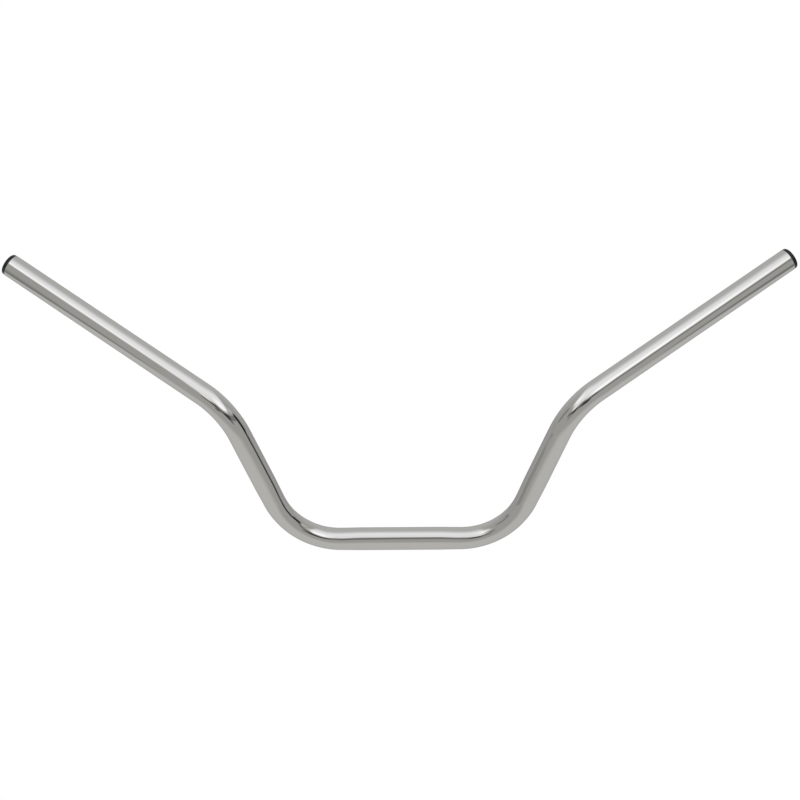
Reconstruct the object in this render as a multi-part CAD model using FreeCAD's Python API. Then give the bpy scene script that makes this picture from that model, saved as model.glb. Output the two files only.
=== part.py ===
import FreeCAD, Part
import math
import os

# A bent steel motorcycle handlebar with a push-in plastic plug in each open end.
#
# Frame: the origin is the middle of the clamped length, on the tube's axis. +X runs along the
# clamped length, +Y points back to the rider and +Z is up, as mounted with level grips. Looking
# forward, the rider has the clutch side on +X and the throttle side on -X.

Vector = FreeCAD.Vector

# The tube.
TUBE_RADIUS = 11.1          # 7/8 inch tube
WALL = 2.1
BEND_RADIUS = 69.0          # to the tube's axis, in all four bends
RIM_ROUNDING = 0.5          # outer edge of each open end
RIM_CHAMFER = 0.6           # inner edge of each open end

# The corners of the tube's axis on the +X side. The -X side mirrors them.
CLAMP_CORNER = Vector(103.5, 0.0, 0.0)
RISE_CORNER = Vector(163.0, 101.0, 97.0)
GRIP_END = Vector(374.5, 249.0, 97.0)

# The end plugs. Heights are measured outward from the tube's end face.
PLUG_CLEARANCE = 0.05       # between the plug and the tube's bore, on the radius
HEAD_RADIUS = 10.9
HEAD_HEIGHT = 4.9
HEAD_CROWN = 0.8            # how far the middle of the head stands above its rim
HEAD_ROUNDING = 2.4
GATE_RADIUS = 1.5           # moulding gate's dimple in the middle of the head
GATE_DEPTH = 0.4
COLLAR_LENGTH = 2.5         # full-width stretch that centres the head on the tube
BARREL_RADIUS = 7.2
CORE_RADIUS = 5.6
CORE_START = 1.2            # solid plastic behind the tube's end face
FIRST_FIN = 1.8             # bare barrel between the collar and the first fin
FIN_COUNT = 4
FIN_PITCH = 3.6
FIN_ROOT = 2.2              # a fin's thickness where it meets the barrel
FIN_TIP = 0.8               # and at its edge
NOSE_LENGTH = 2.0           # barrel past the last fin
BORE_RADIUS = TUBE_RADIUS - WALL
TOLERANCE = 1e-6            # two places or sizes closer than this are the same


def mirrored(point):
    """The same point on the other side of the middle of the bar."""
    return Vector(-point.x, point.y, point.z)


def direction(start, end):
    return (end - start).normalize()


def annulus(centre, normal):
    """The tube's cross-section."""
    outer = Part.Wire(Part.makeCircle(TUBE_RADIUS, centre, normal))
    inner = Part.Wire(Part.makeCircle(BORE_RADIUS, centre, normal))
    return Part.makeFace([outer, inner], "Part::FaceMakerBullseye")


def bend(before, corner, after):
    """One bend round a corner of the route: its solid and the two points where it starts and ends."""
    arriving = direction(before, corner)
    leaving = direction(corner, after)
    turn = arriving.getAngle(leaving)
    setback = BEND_RADIUS * math.tan(turn / 2)
    start = corner - arriving * setback
    end = corner + leaving * setback
    hinge = arriving.cross(leaving).normalize()
    centre = start + hinge.cross(arriving) * BEND_RADIUS
    solid = annulus(start, arriving).revolve(centre, hinge, math.degrees(turn))
    return solid, start, end


def straight(start, end):
    return annulus(start, direction(start, end)).extrude(end - start)


def rim(shape, centre, radius):
    """The circular edges of that radius at an open end of the tube."""
    return [
        edge for edge in shape.Edges
        if isinstance(edge.Curve, Part.Circle)
        and edge.Curve.Center.isEqual(centre, TOLERANCE)
        and abs(edge.Curve.Radius - radius) < TOLERANCE
    ]


def handlebar_tube():
    """Five straight runs joined by four bends of one radius, with both open rims dressed."""
    near = [CLAMP_CORNER, RISE_CORNER, GRIP_END]
    route = [mirrored(point) for point in reversed(near)] + near
    pieces = []
    run_start = route[0]
    for before, corner, after in zip(route, route[1:], route[2:]):
        solid, bend_start, bend_end = bend(before, corner, after)
        pieces += [straight(run_start, bend_start), solid]
        run_start = bend_end
    pieces.append(straight(run_start, route[-1]))
    tube = pieces[0].fuse(pieces[1:])
    for end in (route[0], route[-1]):
        tube = tube.makeFillet(RIM_ROUNDING, rim(tube, end, TUBE_RADIUS))
        tube = tube.makeChamfer(RIM_CHAMFER, rim(tube, end, BORE_RADIUS))
    return tube


def polyline(points):
    """Straight edges through (radius, height) points, in the XZ plane."""
    corners = [Vector(radius, 0, height) for radius, height in points]
    return [Part.makeLine(a, b) for a, b in zip(corners, corners[1:])]


def plug_head_profile():
    """The head's outline from the middle of its face out to the tube's end face."""
    rim_height = HEAD_HEIGHT - HEAD_CROWN
    inner = HEAD_RADIUS - HEAD_ROUNDING
    bulge = HEAD_ROUNDING * math.sqrt(0.5)
    crown_start = Vector(GATE_RADIUS, 0, HEAD_HEIGHT)
    crown_end = Vector(inner, 0, rim_height)
    # Halfway out, a shallow dome stands a quarter of its drop above the chord.
    crown_middle = (crown_start + crown_end) * 0.5 + Vector(0, 0, HEAD_CROWN / 4)
    shoulder = Vector(inner + bulge, 0, rim_height - HEAD_ROUNDING + bulge)
    side_top = Vector(HEAD_RADIUS, 0, rim_height - HEAD_ROUNDING)
    gate_floor = HEAD_HEIGHT - GATE_DEPTH
    edges = polyline([(0, gate_floor), (GATE_RADIUS, gate_floor), (GATE_RADIUS, HEAD_HEIGHT)])
    edges.append(Part.Arc(crown_start, crown_middle, crown_end).toShape())
    edges.append(Part.Arc(crown_end, shoulder, side_top).toShape())
    edges += polyline([(HEAD_RADIUS, side_top.z), (HEAD_RADIUS, 0)])
    return edges


def plug_barrel_profile():
    """The outline from the tube's end face in along the fins, and back out up the hollow core."""
    fit_radius = BORE_RADIUS - PLUG_CLEARANCE
    points = [(HEAD_RADIUS, 0), (fit_radius, 0), (fit_radius, -COLLAR_LENGTH)]
    points.append((BARREL_RADIUS, -COLLAR_LENGTH))
    for number in range(FIN_COUNT):
        top = -COLLAR_LENGTH - FIRST_FIN - number * FIN_PITCH
        points += [
            (BARREL_RADIUS, top),
            (fit_radius, top),
            (fit_radius, top - FIN_TIP),
            (BARREL_RADIUS, top - FIN_ROOT),
        ]
    nose = points[-1][1] - NOSE_LENGTH
    points += [(BARREL_RADIUS, nose), (CORE_RADIUS, nose), (CORE_RADIUS, -CORE_START)]
    points += [(0, -CORE_START), (0, HEAD_HEIGHT - GATE_DEPTH)]
    return polyline(points)


def end_plug(tip, outward):
    """One plug, turned about the grip's axis, with its head against the tube's end face."""
    outline = Part.Wire(plug_head_profile() + plug_barrel_profile())
    plug = Part.Face(outline).revolve(Vector(0, 0, 0), Vector(0, 0, 1), 360)
    plug.Placement = FreeCAD.Placement(tip, FreeCAD.Rotation(Vector(0, 0, 1), outward))
    return plug


def main():
    outward = direction(RISE_CORNER, GRIP_END)
    nodes = {
        "handlebar_tube": handlebar_tube(),
        "clutch_end_plug": end_plug(GRIP_END, outward),
        "throttle_end_plug": end_plug(mirrored(GRIP_END), mirrored(outward)),
    }
    os.makedirs("parts", exist_ok=True)
    for name, shape in nodes.items():
        shape.exportStep(f"parts/{name}.step")
        print(f"{name}: {len(shape.Solids)} solid, {shape.Volume:.0f} mm3, valid {shape.isValid()}")


main()
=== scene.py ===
from collections import namedtuple
import math

import bmesh
import bpy
import numpy as np
from mathutils import Matrix, Vector


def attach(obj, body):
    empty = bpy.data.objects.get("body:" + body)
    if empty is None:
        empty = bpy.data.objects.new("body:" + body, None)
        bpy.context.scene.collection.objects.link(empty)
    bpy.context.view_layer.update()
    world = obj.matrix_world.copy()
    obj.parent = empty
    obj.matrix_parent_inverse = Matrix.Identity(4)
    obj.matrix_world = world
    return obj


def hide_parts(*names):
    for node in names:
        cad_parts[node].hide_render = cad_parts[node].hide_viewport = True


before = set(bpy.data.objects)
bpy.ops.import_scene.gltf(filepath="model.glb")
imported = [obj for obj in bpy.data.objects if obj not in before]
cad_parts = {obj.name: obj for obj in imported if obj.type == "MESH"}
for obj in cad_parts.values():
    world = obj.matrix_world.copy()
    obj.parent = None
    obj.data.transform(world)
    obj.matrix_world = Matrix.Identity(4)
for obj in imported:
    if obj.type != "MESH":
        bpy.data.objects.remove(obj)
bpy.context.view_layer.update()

# The bar, in metres. These repeat the CAD model's driving dimensions.
TUBE_RADIUS = 0.0111
BORE_RADIUS = 0.0090
BEND_RADIUS = 0.069
CLAMP_CORNER = Vector((0.1035, 0.0, 0.0))
RISE_CORNER = Vector((0.163, 0.101, 0.097))
GRIP_END = Vector((0.3745, 0.249, 0.097))
RIM_ROUNDING = 0.0005
RIM_CHAMFER = 0.0006

# Cold bending leaves a tube a little oval. Each bend's squeeze is a share of the radius, in the
# bend's plane, and out of that plane the tube widens by about half as much.
CLAMP_SQUEEZE = 0.075
GRIP_SQUEEZE = 0.05
WIDENING = 0.5
EDGE_SHARE = 0.5            # of a bend's squeeze, where the bend meets a straight length
SQUEEZE_FADE = 0.022        # how far the squeeze eases from there, into the bend and the straight
RIPPLE_HEIGHT = 0.00004     # the faint ripples on the inner side of each bend
RIPPLE_LENGTH = 0.013

# The mesh of the tube.
SIDES = 96
RING_STEP = 0.0016          # along the bends and their fades
LONG_STEP = 0.012           # along the straights
RIM_STEPS = 6               # round the outer edge of each open end
RIM_LEAD = 0.0004           # a ring this far before the rounding keeps the straight's shading straight

# The camera, and the direction that the room's light is drawn about.
CAMERA_AIM = Vector((0.0001, 0.1277, 0.0421))
CAMERA_DISTANCE = 2.136
CAMERA_AZIMUTH = 2.34
CAMERA_ELEVATION = 71.87
CAMERA_ROLL = -2.63
CAMERA_LENS = 99.0
SENSOR = 36.0

FLOOR_HEIGHT = -0.9
FLOOR_REACH = 14.0

# The studio is white, and a dome that only gloss can see stands round the bar. It carries what the
# chrome mirrors. A place on it is (across, up) in degrees from the camera's back axis, seen from the
# dome's centre: across is towards the clutch side, and up is towards the rider. A level is a
# brightness, and the floor's is about 1. A fade is where a change starts and where it is complete,
# in degrees.
WHITE_LEVEL = 1.08          # of the world, which lights the floor and the plastic
DOME_CENTRE = Vector((0.0, 0.13, 0.04))
DOME_RADIUS = 1.9
DOME_SUBDIVISIONS = 5
ROOM_COLOUR = (1.013, 1.0, 0.942, 1)
PAPER_COLOUR = (1.006, 1.0, 0.968, 1)   # of the white paper, far from the camera's axis all round
PAPER_FADE = (55.0, 110.0)
ROOM_LEVEL = 0.53
FRONT_LEVEL = 0.75                      # low down, in front of the bar
FRONT_FADE = (-30.0, -52.0)
BACK_LEVEL = 0.71                       # high up, behind it
BACK_FADE = (35.0, 125.0)

# The big soft light over the bar: half an ellipse below its middle and straight-sided above it,
# hottest near its two lower corners and dimmer towards its top.
LIGHT_COLOUR = (1.0, 1.0, 1.0, 1)
LIGHT_PLACE = (8.0, 36.0)
LIGHT_HALF_WIDTHS = (46.0, 33.0)        # to the left and to the right of its middle
LIGHT_DROP = 28.0                       # from its middle down to its lower edge
LIGHT_EDGE_FADE = (0.8, 1.15)           # its soft edge, in shares of its size
LIGHT_TOP_FADE = (75.0, 108.0)
LIGHT_LEVELS = (1.2, 1.3, 0.75)         # low, in its middle and high
LIGHT_LOW_FADE = (18.0, 40.0)           # from the low level to the middle one
LIGHT_HIGH_FADE = (47.0, 86.0)          # and from the middle level to the high one

# Soft ellipses: place, half size, level. A hot patch's level comes on top of the light's.
HOT_PATCHES = [
    ((21.0, 20.0), (12.0, 13.0), 0.5),
    ((-34.0, 31.0), (12.0, 11.0), 0.4),
]
HOT_SOFTNESS = 0.9
PANELS = [
    ((52.0, 34.0), (6.0, 7.0), 0.85),           # beyond the light's right edge
    ((-18.0, 12.0), (8.0, 8.0), 1.25),          # at its lower left edge
]
PANEL_SOFTNESS = 0.5
CAMERA_SPOT = ((0.0, 1.0), (6.0, 9.0), 0.28)    # the camera's own dark shape
CAMERA_SOFTNESS = 0.4

# Dark things round the light, as straight strips: start, end, half width, level.
STRIP_SOFTNESS = 0.2
DARK_STRIPS = [
    ((-27, 0), (-11, -2), 3.5, 0.12),           # the light's black frame, from its throttle corner
    ((-11, -2), (14, -3), 4.8, 0.05),           # along its front
    ((14, -3), (32, 4), 4.8, 0.08),             # round its clutch corner
    ((32, 4), (65, 28), 4.5, 0.3),              # and up that side
    ((67, 27), (86, -6), 11, 0.03),             # flag on the clutch side
    ((0, -6), (-17, -13), 2, 0.15),             # arm that holds the light, on the throttle side
    ((5, -6), (22, -10), 3, 0.05),              # and on the clutch side
    ((64, -30), (86, -39), 5, 0.3),             # stand on the clutch side
    ((-64, -30), (-86, -39), 5, 0.3),           # stand on the throttle side
    ((-70, -24), (-84, -12), 8, 0.4),           # kit on the throttle side, low
    ((-58, 30), (-68, 20), 7, 0.3),             # and high
]


def mirrored(point):
    """The same point on the other side of the middle of the bar."""
    return Vector((-point.x, point.y, point.z))


# ---------------------------------------------------------------- the tube's route


class Run:
    """One straight length or one bend of the tube's axis, from a start point and heading."""

    def __init__(self, start, heading, length, hinge=None, squeeze=0.0):
        self.start = start
        self.heading = heading
        self.length = length
        self.hinge = hinge
        self.squeeze = squeeze

    def at(self, distance):
        """The axis point and the rotation from the start's heading, this far along the run."""
        if self.hinge is None:
            return self.start + self.heading * distance, Matrix.Identity(3)
        centre = self.start + self.hinge.cross(self.heading) * BEND_RADIUS
        turned = Matrix.Rotation(distance / BEND_RADIUS, 3, self.hinge)
        return centre + turned @ (self.start - centre), turned


def route_runs():
    """The five straights and four bends, in order from the throttle side to the clutch side."""
    clutch_side = [CLAMP_CORNER, RISE_CORNER, GRIP_END]
    corners = [mirrored(point) for point in reversed(clutch_side)] + clutch_side
    squeezes = [GRIP_SQUEEZE, CLAMP_SQUEEZE, CLAMP_SQUEEZE, GRIP_SQUEEZE]
    runs = []
    place = corners[0]
    for before, corner, after, squeeze in zip(corners, corners[1:], corners[2:], squeezes):
        arriving = (corner - before).normalized()
        leaving = (after - corner).normalized()
        turn = arriving.angle(leaving)
        setback = BEND_RADIUS * math.tan(turn / 2)
        bend_start = corner - arriving * setback
        hinge = arriving.cross(leaving).normalized()
        runs.append(Run(place, arriving, (bend_start - place).length))
        runs.append(Run(bend_start, arriving, turn * BEND_RADIUS, hinge, squeeze))
        place = corner + leaving * setback
    last = corners[-1] - place
    runs.append(Run(place, last.normalized(), last.length))
    return runs


def smooth(x):
    """0 to 1 with level ends."""
    x = min(max(x, 0.0), 1.0)
    return x * x * (3 - 2 * x)


# A place along the tube: the axis point, the heading, two cross directions that never twist, the
# squeeze with the hinge direction of the bend that made it, and the ripple's height.
Station = namedtuple("Station", "point heading side up squeeze hinge ripple")


def axis_stations(runs):
    """The stations from one end of the tube to the other."""
    across = Vector((0, 0, 1)).cross(runs[0].heading).normalized()
    stations = []
    for index, run in enumerate(runs):
        before = runs[index - 1] if index > 0 else None
        after = runs[index + 1] if index + 1 < len(runs) else None
        for distance in run_steps(run, before, after):
            point, turned = run.at(distance)
            heading = turned @ run.heading
            side = turned @ across
            up = heading.cross(side)
            squeeze, hinge = ovality(run, before, after, distance)
            ripple = ripple_height(run, distance)
            stations.append(Station(point, heading, side, up, squeeze, hinge, ripple))
        across = run.at(run.length)[1] @ across
    return stations


def run_steps(run, before, after):
    """Distances along a run: close together in a bend and near one, and far apart elsewhere."""
    if run.hinge is not None:
        count = round(run.length / RING_STEP)
        return [run.length * k / count for k in range(count)]
    steps = []
    lead = SQUEEZE_FADE if before else 0.0
    tail = run.length - (SQUEEZE_FADE if after else 0.0)
    fade_count = round(SQUEEZE_FADE / RING_STEP)
    if before:
        steps += [lead * k / fade_count for k in range(fade_count)]
    middle_count = max(round((tail - lead) / LONG_STEP), 1)
    steps += [lead + (tail - lead) * k / middle_count for k in range(middle_count)]
    if after:
        steps += [tail + SQUEEZE_FADE * k / fade_count for k in range(fade_count)]
    else:
        steps.append(run.length)
    return steps


def ovality(run, before, after, distance):
    """How much the tube is squeezed here, and the hinge direction of the bend that did it."""
    if run.hinge is not None:
        inside = smooth(min(distance, run.length - distance) / SQUEEZE_FADE)
        return run.squeeze * (EDGE_SHARE + (1 - EDGE_SHARE) * inside), run.hinge
    if before and distance < SQUEEZE_FADE:
        return before.squeeze * EDGE_SHARE * smooth(1 - distance / SQUEEZE_FADE), before.hinge
    left = run.length - distance
    if after and left < SQUEEZE_FADE:
        return after.squeeze * EDGE_SHARE * smooth(1 - left / SQUEEZE_FADE), after.hinge
    return 0.0, None


def ripple_height(run, distance):
    """The height of the faint ripples that a cold bend leaves on its inner side."""
    if run.hinge is None:
        return 0.0
    fade = smooth(min(distance, run.length - distance) / RIPPLE_LENGTH)
    return RIPPLE_HEIGHT * fade * math.sin(2 * math.pi * distance / RIPPLE_LENGTH)


def ring(station, radius, rippled=False):
    """The points of one ring round the axis."""
    angles = np.arange(SIDES) * (2 * math.pi / SIDES)
    radii = np.full(SIDES, radius)
    if station.hinge is not None:
        inward = station.hinge.cross(station.heading)
        bend_angle = math.atan2(inward.dot(station.up), inward.dot(station.side))
        facing_in = np.cos(angles - bend_angle)
        in_plane = facing_in ** 2
        widened = station.squeeze * WIDENING * (1 - in_plane)
        radii = radius * (1 - station.squeeze * in_plane + widened)
        if rippled:
            radii = radii + station.ripple * np.clip(facing_in, 0, None) ** 2
    sideways = np.outer(np.cos(angles) * radii, station.side)
    upwards = np.outer(np.sin(angles) * radii, station.up)
    return sideways + upwards + np.array(station.point)


def moved(station, distance):
    """The same station, this far along its heading."""
    return station._replace(point=station.point + station.heading * distance)


def rim_rings(station, sign):
    """An open end from the outside to the bore: a rounded outer edge and a chamfered inner one.
    The sign is 1 where the heading points out of the tube and -1 where it points in."""
    rings = [ring(moved(station, -sign * (RIM_ROUNDING + RIM_LEAD)), TUBE_RADIUS)]
    for k in range(RIM_STEPS + 1):
        angle = math.pi / 2 * k / RIM_STEPS
        back = RIM_ROUNDING * (1 - math.sin(angle))
        inset = RIM_ROUNDING * (1 - math.cos(angle))
        rings.append(ring(moved(station, -sign * back), TUBE_RADIUS - inset))
    rings.append(ring(station, BORE_RADIUS + RIM_CHAMFER))
    rings.append(ring(moved(station, -sign * RIM_CHAMFER), BORE_RADIUS))
    return rings


def tube_mesh():
    """The tube's outside, its rims and its bore as one closed mesh, with the bore as material 1."""
    stations = axis_stations(route_runs())
    first, last = stations[0], stations[-1]
    inner = stations[1:-1]
    outside = [ring(station, TUBE_RADIUS, rippled=True) for station in inner]
    bore = [ring(station, BORE_RADIUS) for station in reversed(inner)]
    end_rims = rim_rings(last, 1)
    start_rims = list(reversed(rim_rings(first, -1)))
    rings = outside + end_rims + bore + start_rims
    count = len(rings)
    faces = []
    for row in range(count):
        here, there = row * SIDES, ((row + 1) % count) * SIDES
        for k in range(SIDES):
            turn = (k + 1) % SIDES
            faces.append((here + k, here + turn, there + turn, there + k))
    mesh = bpy.data.meshes.new("handlebar")
    mesh.from_pydata(np.concatenate(rings).tolist(), [], faces)
    mesh.shade_smooth()
    bore_start = len(outside) + len(end_rims) - 1
    bore_end = bore_start + len(bore)
    for face in mesh.polygons:
        if bore_start <= face.index // SIDES <= bore_end:
            face.material_index = 1
    # The chamfers meet the end faces and the bore at sharp edges.
    crisp = {bore_start - 1, bore_start, bore_end + 1, bore_end + 2}
    for edge in mesh.edges:
        rows = {vertex // SIDES for vertex in edge.vertices}
        if len(rows) == 1 and rows <= crisp:
            edge.use_edge_sharp = True
    lay_out_uv(mesh, rings)
    return mesh


def lay_out_uv(mesh, rings):
    """UV in metres, with U round the tube and V along it, so that a texture can follow the tube."""
    middles = np.array([points.mean(axis=0) for points in rings])
    steps = np.linalg.norm(np.diff(middles, axis=0), axis=1)
    along = np.concatenate([[0.0], np.cumsum(steps), [steps.sum()]])
    round_step = 2 * math.pi * TUBE_RADIUS / SIDES
    uv = mesh.uv_layers.new(name="along_tube")
    for face in mesh.polygons:
        row, k = divmod(face.index, SIDES)
        corners = [(k, row), (k + 1, row), (k + 1, row + 1), (k, row + 1)]
        for loop, (column, line) in zip(face.loop_indices, corners):
            uv.data[loop].uv = (column * round_step, along[line])


# ---------------------------------------------------------------- materials


# Colours are linear, and depths are in metres. A scale is how many of a pattern's features there are
# to a metre. A stretch is that for U, round the tube, and for V, along it, with a 1 for the unused W.
CHROME_CLEAN = (0.575, 0.573, 0.572, 1)
CHROME_BLOOMED = (0.559, 0.557, 0.556, 1)
CHROME_EDGE_TINT = (0.75, 0.75, 0.75, 1)    # of what it mirrors at a glancing angle
CHROME_ROUGHNESS = (0.02, 0.045)            # clean, bloomed
BLOOM_SCALE = 14.0
WAVE_SCALE = 90.0
WAVE_DEPTH = 0.00002
HAIRLINE_STRETCH = (2600, 14, 1)
HAIRLINE_DEPTH = 0.0000016

BORE_METALLIC = 0.35
BORE_DARK = (0.15, 0.145, 0.138, 1)
BORE_LIGHT = (0.27, 0.263, 0.25, 1)
BORE_ROUGHNESS = (0.55, 0.4)                # dark, light
BLOTCH_SCALE = 160.0
DRAWN_STRETCH = (900, 20, 1)
DRAWN_DEPTH = 0.00001

PLASTIC_DARK = (0.0025, 0.0025, 0.0028, 1)
PLASTIC_LIGHT = (0.0085, 0.0085, 0.0092, 1)
PLASTIC_SPECULAR = 0.3
PLASTIC_ROUGHNESS = (0.30, 0.46)            # smooth, scuffed
GRAIN_SCALE = 2400.0
GRAIN_DEPTH = 0.00004
GRAIN_RANGE = (0.35, 0.65)
SCUFF_COLOUR = (0.014, 0.014, 0.015, 1)
SCUFF_SCALE = 420.0
SCUFF_RANGE = (0.5, 0.72)
SCUFF_SHARE = (0.0, 0.6)                    # how much of the scuffs' colour shows

FLOOR_COLOUR = (0.94, 0.94, 0.94, 1)
FLOOR_ROUGHNESS = 0.9
FLOOR_SPECULAR = 0.1

NOISE_RANGE = (0.3, 0.7)    # where most of a noise's values lie


def new_material(name):
    """A material, its node tree and its shader."""
    material = bpy.data.materials.new(name)
    material.use_nodes = True
    tree = material.node_tree
    return material, tree, tree.nodes["Principled BSDF"]


def feed(tree, socket, value):
    """Link an output, or set a plain value."""
    if hasattr(value, "is_output"):
        tree.links.new(value, socket)
    else:
        socket.default_value = value


def noise(tree, vector, scale, detail=2.0):
    """A cloudy pattern of values from 0 to 1."""
    node = tree.nodes.new("ShaderNodeTexNoise")
    node.inputs["Scale"].default_value = scale
    node.inputs["Detail"].default_value = detail
    tree.links.new(vector, node.inputs["Vector"])
    return node.outputs["Fac"]


def stretched(tree, vector, scale):
    """Coordinates scaled along each axis."""
    node = tree.nodes.new("ShaderNodeMapping")
    node.inputs["Scale"].default_value = scale
    tree.links.new(vector, node.inputs["Vector"])
    return node.outputs["Vector"]


def spread(tree, value, results, values=NOISE_RANGE):
    """A noise value, mapped from its range of values to a range of results."""
    node = tree.nodes.new("ShaderNodeMapRange")
    tree.links.new(value, node.inputs["Value"])
    for name, number in zip(("From Min", "From Max", "To Min", "To Max"), values + results):
        node.inputs[name].default_value = number
    return node.outputs["Result"]


def mixed_colours(tree, share, first, second):
    """The first colour where share is 0, the second where it is 1."""
    node = tree.nodes.new("ShaderNodeMix")
    node.data_type = "RGBA"
    feed(tree, node.inputs["A"], first)
    feed(tree, node.inputs["B"], second)
    feed(tree, node.inputs["Factor"], share)
    return node.outputs["Result"]


def bump(tree, height, depth, under=None):
    """A bump whose full height is depth metres, on top of another bump."""
    node = tree.nodes.new("ShaderNodeBump")
    node.inputs["Distance"].default_value = depth
    tree.links.new(height, node.inputs["Height"])
    if under is not None:
        tree.links.new(under, node.inputs["Normal"])
    return node.outputs["Normal"]


def chrome():
    """Polished chromium plate: nearly a mirror, a little wavy, with hairlines along the tube from
    the polishing of the steel under it, and a faint bloom where hands have wiped it."""
    material, tree, shader = new_material("chrome_plate")
    shader.inputs["Metallic"].default_value = 1.0
    shader.inputs["Specular Tint"].default_value = CHROME_EDGE_TINT
    coordinates = tree.nodes.new("ShaderNodeTexCoord")
    hairlines = noise(tree, stretched(tree, coordinates.outputs["UV"], HAIRLINE_STRETCH), 1.0, detail=3.0)
    waves = noise(tree, coordinates.outputs["Object"], WAVE_SCALE)
    bloom = noise(tree, coordinates.outputs["Object"], BLOOM_SCALE, detail=4.0)
    bloomed = spread(tree, bloom, (0.0, 1.0))
    tree.links.new(mixed_colours(tree, bloomed, CHROME_CLEAN, CHROME_BLOOMED), shader.inputs["Base Color"])
    tree.links.new(spread(tree, bloom, CHROME_ROUGHNESS), shader.inputs["Roughness"])
    surface = bump(tree, hairlines, HAIRLINE_DEPTH, under=bump(tree, waves, WAVE_DEPTH))
    tree.links.new(surface, shader.inputs["Normal"])
    return material


def bore_steel():
    """The inside of the tube, where plating hardly reaches: dull drawn steel with a film of oil."""
    material, tree, shader = new_material("bore_steel")
    shader.inputs["Metallic"].default_value = BORE_METALLIC
    coordinates = tree.nodes.new("ShaderNodeTexCoord")
    drawn = noise(tree, stretched(tree, coordinates.outputs["UV"], DRAWN_STRETCH), 1.0)
    blotches = noise(tree, coordinates.outputs["Object"], BLOTCH_SCALE, detail=4.0)
    blotched = spread(tree, blotches, (0.0, 1.0))
    tree.links.new(mixed_colours(tree, blotched, BORE_DARK, BORE_LIGHT), shader.inputs["Base Color"])
    tree.links.new(spread(tree, blotches, BORE_ROUGHNESS), shader.inputs["Roughness"])
    tree.links.new(bump(tree, drawn, DRAWN_DEPTH), shader.inputs["Normal"])
    return material


def black_plastic():
    """Moulded polyethylene: near black, with a soft sheen, a fine spark grain and a few scuffs."""
    material, tree, shader = new_material("black_plastic")
    shader.inputs["Specular IOR Level"].default_value = PLASTIC_SPECULAR
    coordinates = tree.nodes.new("ShaderNodeTexCoord")
    grain = noise(tree, coordinates.outputs["Object"], GRAIN_SCALE, detail=3.0)
    scuffs = noise(tree, coordinates.outputs["Object"], SCUFF_SCALE, detail=5.0)
    grained = spread(tree, grain, (0.0, 1.0), GRAIN_RANGE)
    scuffed = spread(tree, scuffs, SCUFF_SHARE, SCUFF_RANGE)
    colours = mixed_colours(tree, grained, PLASTIC_DARK, PLASTIC_LIGHT)
    colours = mixed_colours(tree, scuffed, colours, SCUFF_COLOUR)
    tree.links.new(colours, shader.inputs["Base Color"])
    tree.links.new(spread(tree, scuffs, PLASTIC_ROUGHNESS), shader.inputs["Roughness"])
    tree.links.new(bump(tree, grain, GRAIN_DEPTH), shader.inputs["Normal"])
    return material


def floor_material():
    """Plain matt paper."""
    material, tree, shader = new_material("pale_floor")
    shader.inputs["Base Color"].default_value = FLOOR_COLOUR
    shader.inputs["Roughness"].default_value = FLOOR_ROUGHNESS
    shader.inputs["Specular IOR Level"].default_value = FLOOR_SPECULAR
    return material


# ---------------------------------------------------------------- the object


tube = bpy.data.objects.new("handlebar", tube_mesh())
bpy.context.scene.collection.objects.link(tube)
tube.data.materials.append(chrome())
tube.data.materials.append(bore_steel())
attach(tube, "bar")
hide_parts("handlebar_tube")

plastic = black_plastic()
for name in ("clutch_end_plug", "throttle_end_plug"):
    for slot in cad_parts[name].material_slots:
        slot.material = plastic


# ---------------------------------------------------------------- the studio


def camera_axes():
    """The camera's right, up and back directions."""
    azimuth = math.radians(CAMERA_AZIMUTH)
    elevation = math.radians(CAMERA_ELEVATION)
    back = Vector((
        math.sin(azimuth) * math.cos(elevation),
        -math.cos(azimuth) * math.cos(elevation),
        math.sin(elevation),
    ))
    level = Vector((math.cos(azimuth), math.sin(azimuth), 0))
    roll = Matrix.Rotation(math.radians(CAMERA_ROLL), 3, back)
    right = roll @ level
    return right, back.cross(right), back


def add_camera():
    """The view from above and a little in front."""
    right, up, back = camera_axes()
    data = bpy.data.cameras.new("camera")
    data.lens = CAMERA_LENS
    data.sensor_width = SENSOR
    camera = bpy.data.objects.new("camera", data)
    turned = Matrix((right, up, back)).transposed().to_4x4()
    camera.matrix_world = Matrix.Translation(CAMERA_AIM + back * CAMERA_DISTANCE) @ turned
    bpy.context.scene.collection.objects.link(camera)
    bpy.context.scene.camera = camera


def add_floor():
    """The pale floor. Gloss doesn't see it, so that the chrome mirrors only the dome."""
    mesh = bpy.data.meshes.new("floor")
    corners = [(x * FLOOR_REACH, y * FLOOR_REACH, 0) for x, y in ((-1, -1), (1, -1), (1, 1), (-1, 1))]
    mesh.from_pydata(corners, [], [(0, 1, 2, 3)])
    floor = bpy.data.objects.new("floor", mesh)
    floor.location = (0, 0, FLOOR_HEIGHT)
    mesh.materials.append(floor_material())
    floor.visible_glossy = False
    bpy.context.scene.collection.objects.link(floor)


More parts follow.
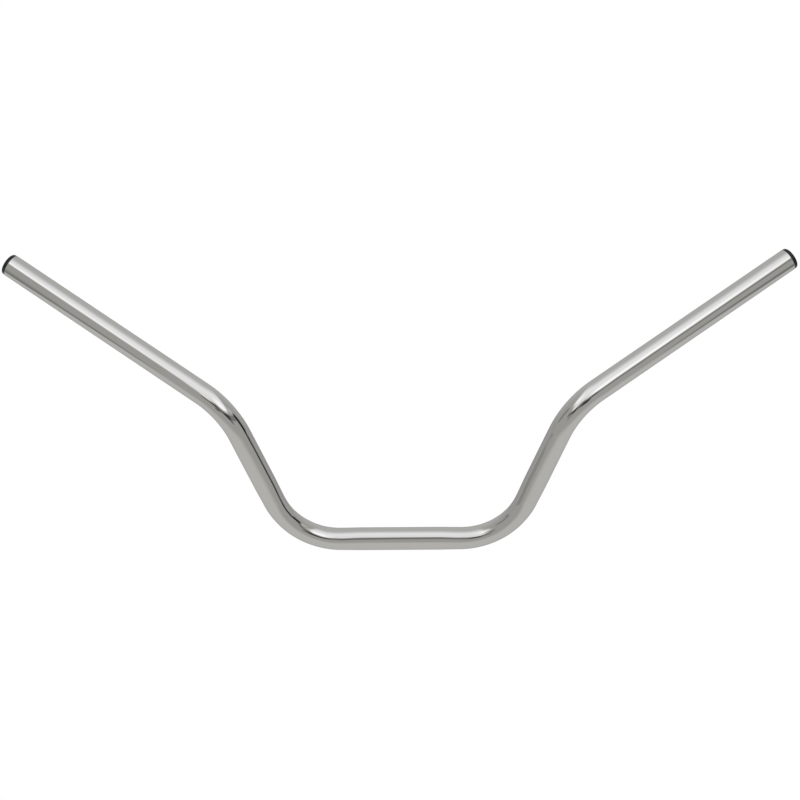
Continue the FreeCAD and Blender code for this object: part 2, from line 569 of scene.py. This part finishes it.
class Graph:
    """Short forms for working out the dome's light with maths nodes."""

    def __init__(self, tree):
        self.tree = tree
        self.nodes = tree.nodes

    def maths(self, operation, *values):
        """Maths on plain numbers."""
        node = self.nodes.new("ShaderNodeMath")
        node.operation = operation
        for socket, value in zip(node.inputs, values):
            feed(self.tree, socket, value)
        return node.outputs[0]

    def vectors(self, operation, *values):
        """Vector maths on vectors, or on a vector and a plain number for SCALE."""
        node = self.nodes.new("ShaderNodeVectorMath")
        node.operation = operation
        sockets = [node.inputs[0], node.inputs["Scale"]] if operation == "SCALE" else node.inputs
        for socket, value in zip(sockets, values):
            feed(self.tree, socket, value)
        plain = operation in ("DOT_PRODUCT", "LENGTH", "DISTANCE")
        return node.outputs["Value" if plain else "Vector"]

    def joined(self, x, y):
        """A flat vector of two numbers."""
        node = self.nodes.new("ShaderNodeCombineXYZ")
        feed(self.tree, node.inputs["X"], x)
        feed(self.tree, node.inputs["Y"], y)
        return node.outputs["Vector"]

    def mix(self, base, other, share):
        """base where share is 0, other where it is 1."""
        kept = self.maths("MULTIPLY", base, self.maths("SUBTRACT", 1.0, share))
        return self.maths("ADD", kept, self.maths("MULTIPLY", other, share))

    def fade(self, value, start, end):
        """1 at start, 0 at end, smooth between."""
        node = self.nodes.new("ShaderNodeMapRange")
        node.interpolation_type = "SMOOTHSTEP"
        feed(self.tree, node.inputs["Value"], value)
        node.inputs["From Min"].default_value = min(start, end)
        node.inputs["From Max"].default_value = max(start, end)
        node.inputs["To Min"].default_value = 1.0 if start < end else 0.0
        node.inputs["To Max"].default_value = 0.0 if start < end else 1.0
        return node.outputs["Result"]

    def dome_place(self, axes):
        """Degrees across and up from the camera's back axis, for a point of the dome."""
        point = self.nodes.new("ShaderNodeTexCoord").outputs["Object"]
        towards = self.vectors("NORMALIZE", point)
        across, up, along = (self.vectors("DOT_PRODUCT", towards, axis) for axis in axes)
        angle = self.maths("DEGREES", self.maths("ARCCOSINE", along))
        flat = self.vectors("NORMALIZE", self.joined(across, up))
        return self.vectors("SCALE", flat, angle)

    def strip(self, place, start, end, half_width):
        """1 along a straight strip with round ends, 0 away from it."""
        start, end = Vector((*start, 0)), Vector((*end, 0))
        span = end - start
        offset = self.vectors("SUBTRACT", place, start)
        share = self.vectors("DOT_PRODUCT", offset, span / span.length_squared)
        share = self.maths("MINIMUM", self.maths("MAXIMUM", share, 0.0), 1.0)
        nearest = self.vectors("SCALE", span, share)
        away = self.vectors("DISTANCE", offset, nearest)
        return self.fade(away, half_width * (1 - STRIP_SOFTNESS), half_width * (1 + STRIP_SOFTNESS))

    def patch(self, place, middle, half_size, softness):
        """1 inside an ellipse, 0 outside it."""
        offset = self.vectors("SUBTRACT", place, Vector((*middle, 0)))
        shrink = Vector((1 / half_size[0], 1 / half_size[1], 0))
        reach = self.vectors("LENGTH", self.vectors("MULTIPLY", offset, shrink))
        return self.fade(reach, 1 - softness, 1 + softness)


def dome_light(graph, place):
    """The dome's brightness, and the share of it that is the big soft light: a grey room, the light
    itself and the dark things round it."""
    split = graph.nodes.new("ShaderNodeSeparateXYZ")
    feed(graph.tree, split.inputs[0], place)
    across, upward = split.outputs["X"], split.outputs["Y"]
    room = graph.mix(FRONT_LEVEL, ROOM_LEVEL, graph.fade(upward, *FRONT_FADE))
    room = graph.mix(BACK_LEVEL, room, graph.fade(upward, *BACK_FADE))
    for middle, half_size, level in PANELS:
        room = graph.mix(room, level, graph.patch(place, middle, half_size, PANEL_SOFTNESS))
    share = soft_light_shape(graph, across, upward)
    light = graph.mix(room, soft_light_level(graph, place, upward), share)
    for start, end, half_width, level in DARK_STRIPS:
        light = graph.mix(light, level, graph.strip(place, start, end, half_width))
    middle, half_size, level = CAMERA_SPOT
    return graph.mix(light, level, graph.patch(place, middle, half_size, CAMERA_SOFTNESS)), share


def soft_light_shape(graph, across, upward):
    """1 inside the big light and 0 outside it, soft at its edge and softer at its top."""
    offset = graph.maths("SUBTRACT", across, LIGHT_PLACE[0])
    left = graph.maths("DIVIDE", offset, -LIGHT_HALF_WIDTHS[0])
    right = graph.maths("DIVIDE", offset, LIGHT_HALF_WIDTHS[1])
    drop = graph.maths("DIVIDE", graph.maths("SUBTRACT", LIGHT_PLACE[1], upward), LIGHT_DROP)
    sideways = graph.maths("MAXIMUM", left, right)
    down = graph.maths("MAXIMUM", drop, 0.0)
    reach = graph.vectors("LENGTH", graph.joined(sideways, down))
    edge = graph.fade(reach, *LIGHT_EDGE_FADE)
    return graph.maths("MULTIPLY", edge, graph.fade(upward, *LIGHT_TOP_FADE))


def soft_light_level(graph, place, upward):
    """The big light's brightness at each place."""
    low_level, middle_level, high_level = LIGHT_LEVELS
    level = graph.mix(middle_level, low_level, graph.fade(upward, *LIGHT_LOW_FADE))
    level = graph.mix(high_level, level, graph.fade(upward, *LIGHT_HIGH_FADE))
    for middle, half_size, extra in HOT_PATCHES:
        share = graph.patch(place, middle, half_size, HOT_SOFTNESS)
        level = graph.maths("ADD", level, graph.maths("MULTIPLY", share, extra))
    return level


def dome_material():
    """The studio's light, as a glow whose places are fixed in the room."""
    material = bpy.data.materials.new("studio_dome")
    material.use_nodes = True
    # Glossy rays find the dome by themselves, so it isn't sampled as a lamp.
    material.cycles.emission_sampling = "NONE"
    tree = material.node_tree
    tree.nodes.remove(tree.nodes["Principled BSDF"])
    emission = tree.nodes.new("ShaderNodeEmission")
    graph = Graph(tree)
    place = graph.dome_place(camera_axes())
    level, light_share = dome_light(graph, place)
    tree.links.new(level, emission.inputs["Strength"])
    room_share = graph.fade(graph.vectors("LENGTH", place), *PAPER_FADE)
    colours = mixed_colours(tree, room_share, PAPER_COLOUR, ROOM_COLOUR)
    colours = mixed_colours(tree, light_share, colours, LIGHT_COLOUR)
    tree.links.new(colours, emission.inputs["Color"])
    tree.links.new(emission.outputs[0], tree.nodes["Material Output"].inputs["Surface"])
    return material


def add_dome():
    """The studio that the chrome mirrors. Only glossy light sees it."""
    mesh = bpy.data.meshes.new("studio_dome")
    shell = bmesh.new()
    bmesh.ops.create_icosphere(shell, subdivisions=DOME_SUBDIVISIONS, radius=DOME_RADIUS)
    shell.to_mesh(mesh)
    shell.free()
    dome = bpy.data.objects.new("studio_dome", mesh)
    dome.location = DOME_CENTRE
    mesh.materials.append(dome_material())
    dome.visible_camera = False
    dome.visible_diffuse = False
    dome.visible_transmission = False
    dome.visible_shadow = False
    bpy.context.scene.collection.objects.link(dome)


def add_world():
    """Plain white all round, for the background, the floor and the plastic."""
    world = bpy.data.worlds.new("studio")
    bpy.context.scene.world = world
    world.use_nodes = True
    background = world.node_tree.nodes["Background"]
    background.inputs["Color"].default_value = (1, 1, 1, 1)
    background.inputs["Strength"].default_value = WHITE_LEVEL


add_camera()
add_floor()
add_dome()
add_world()
bpy.context.scene.view_settings.view_transform = "Standard"
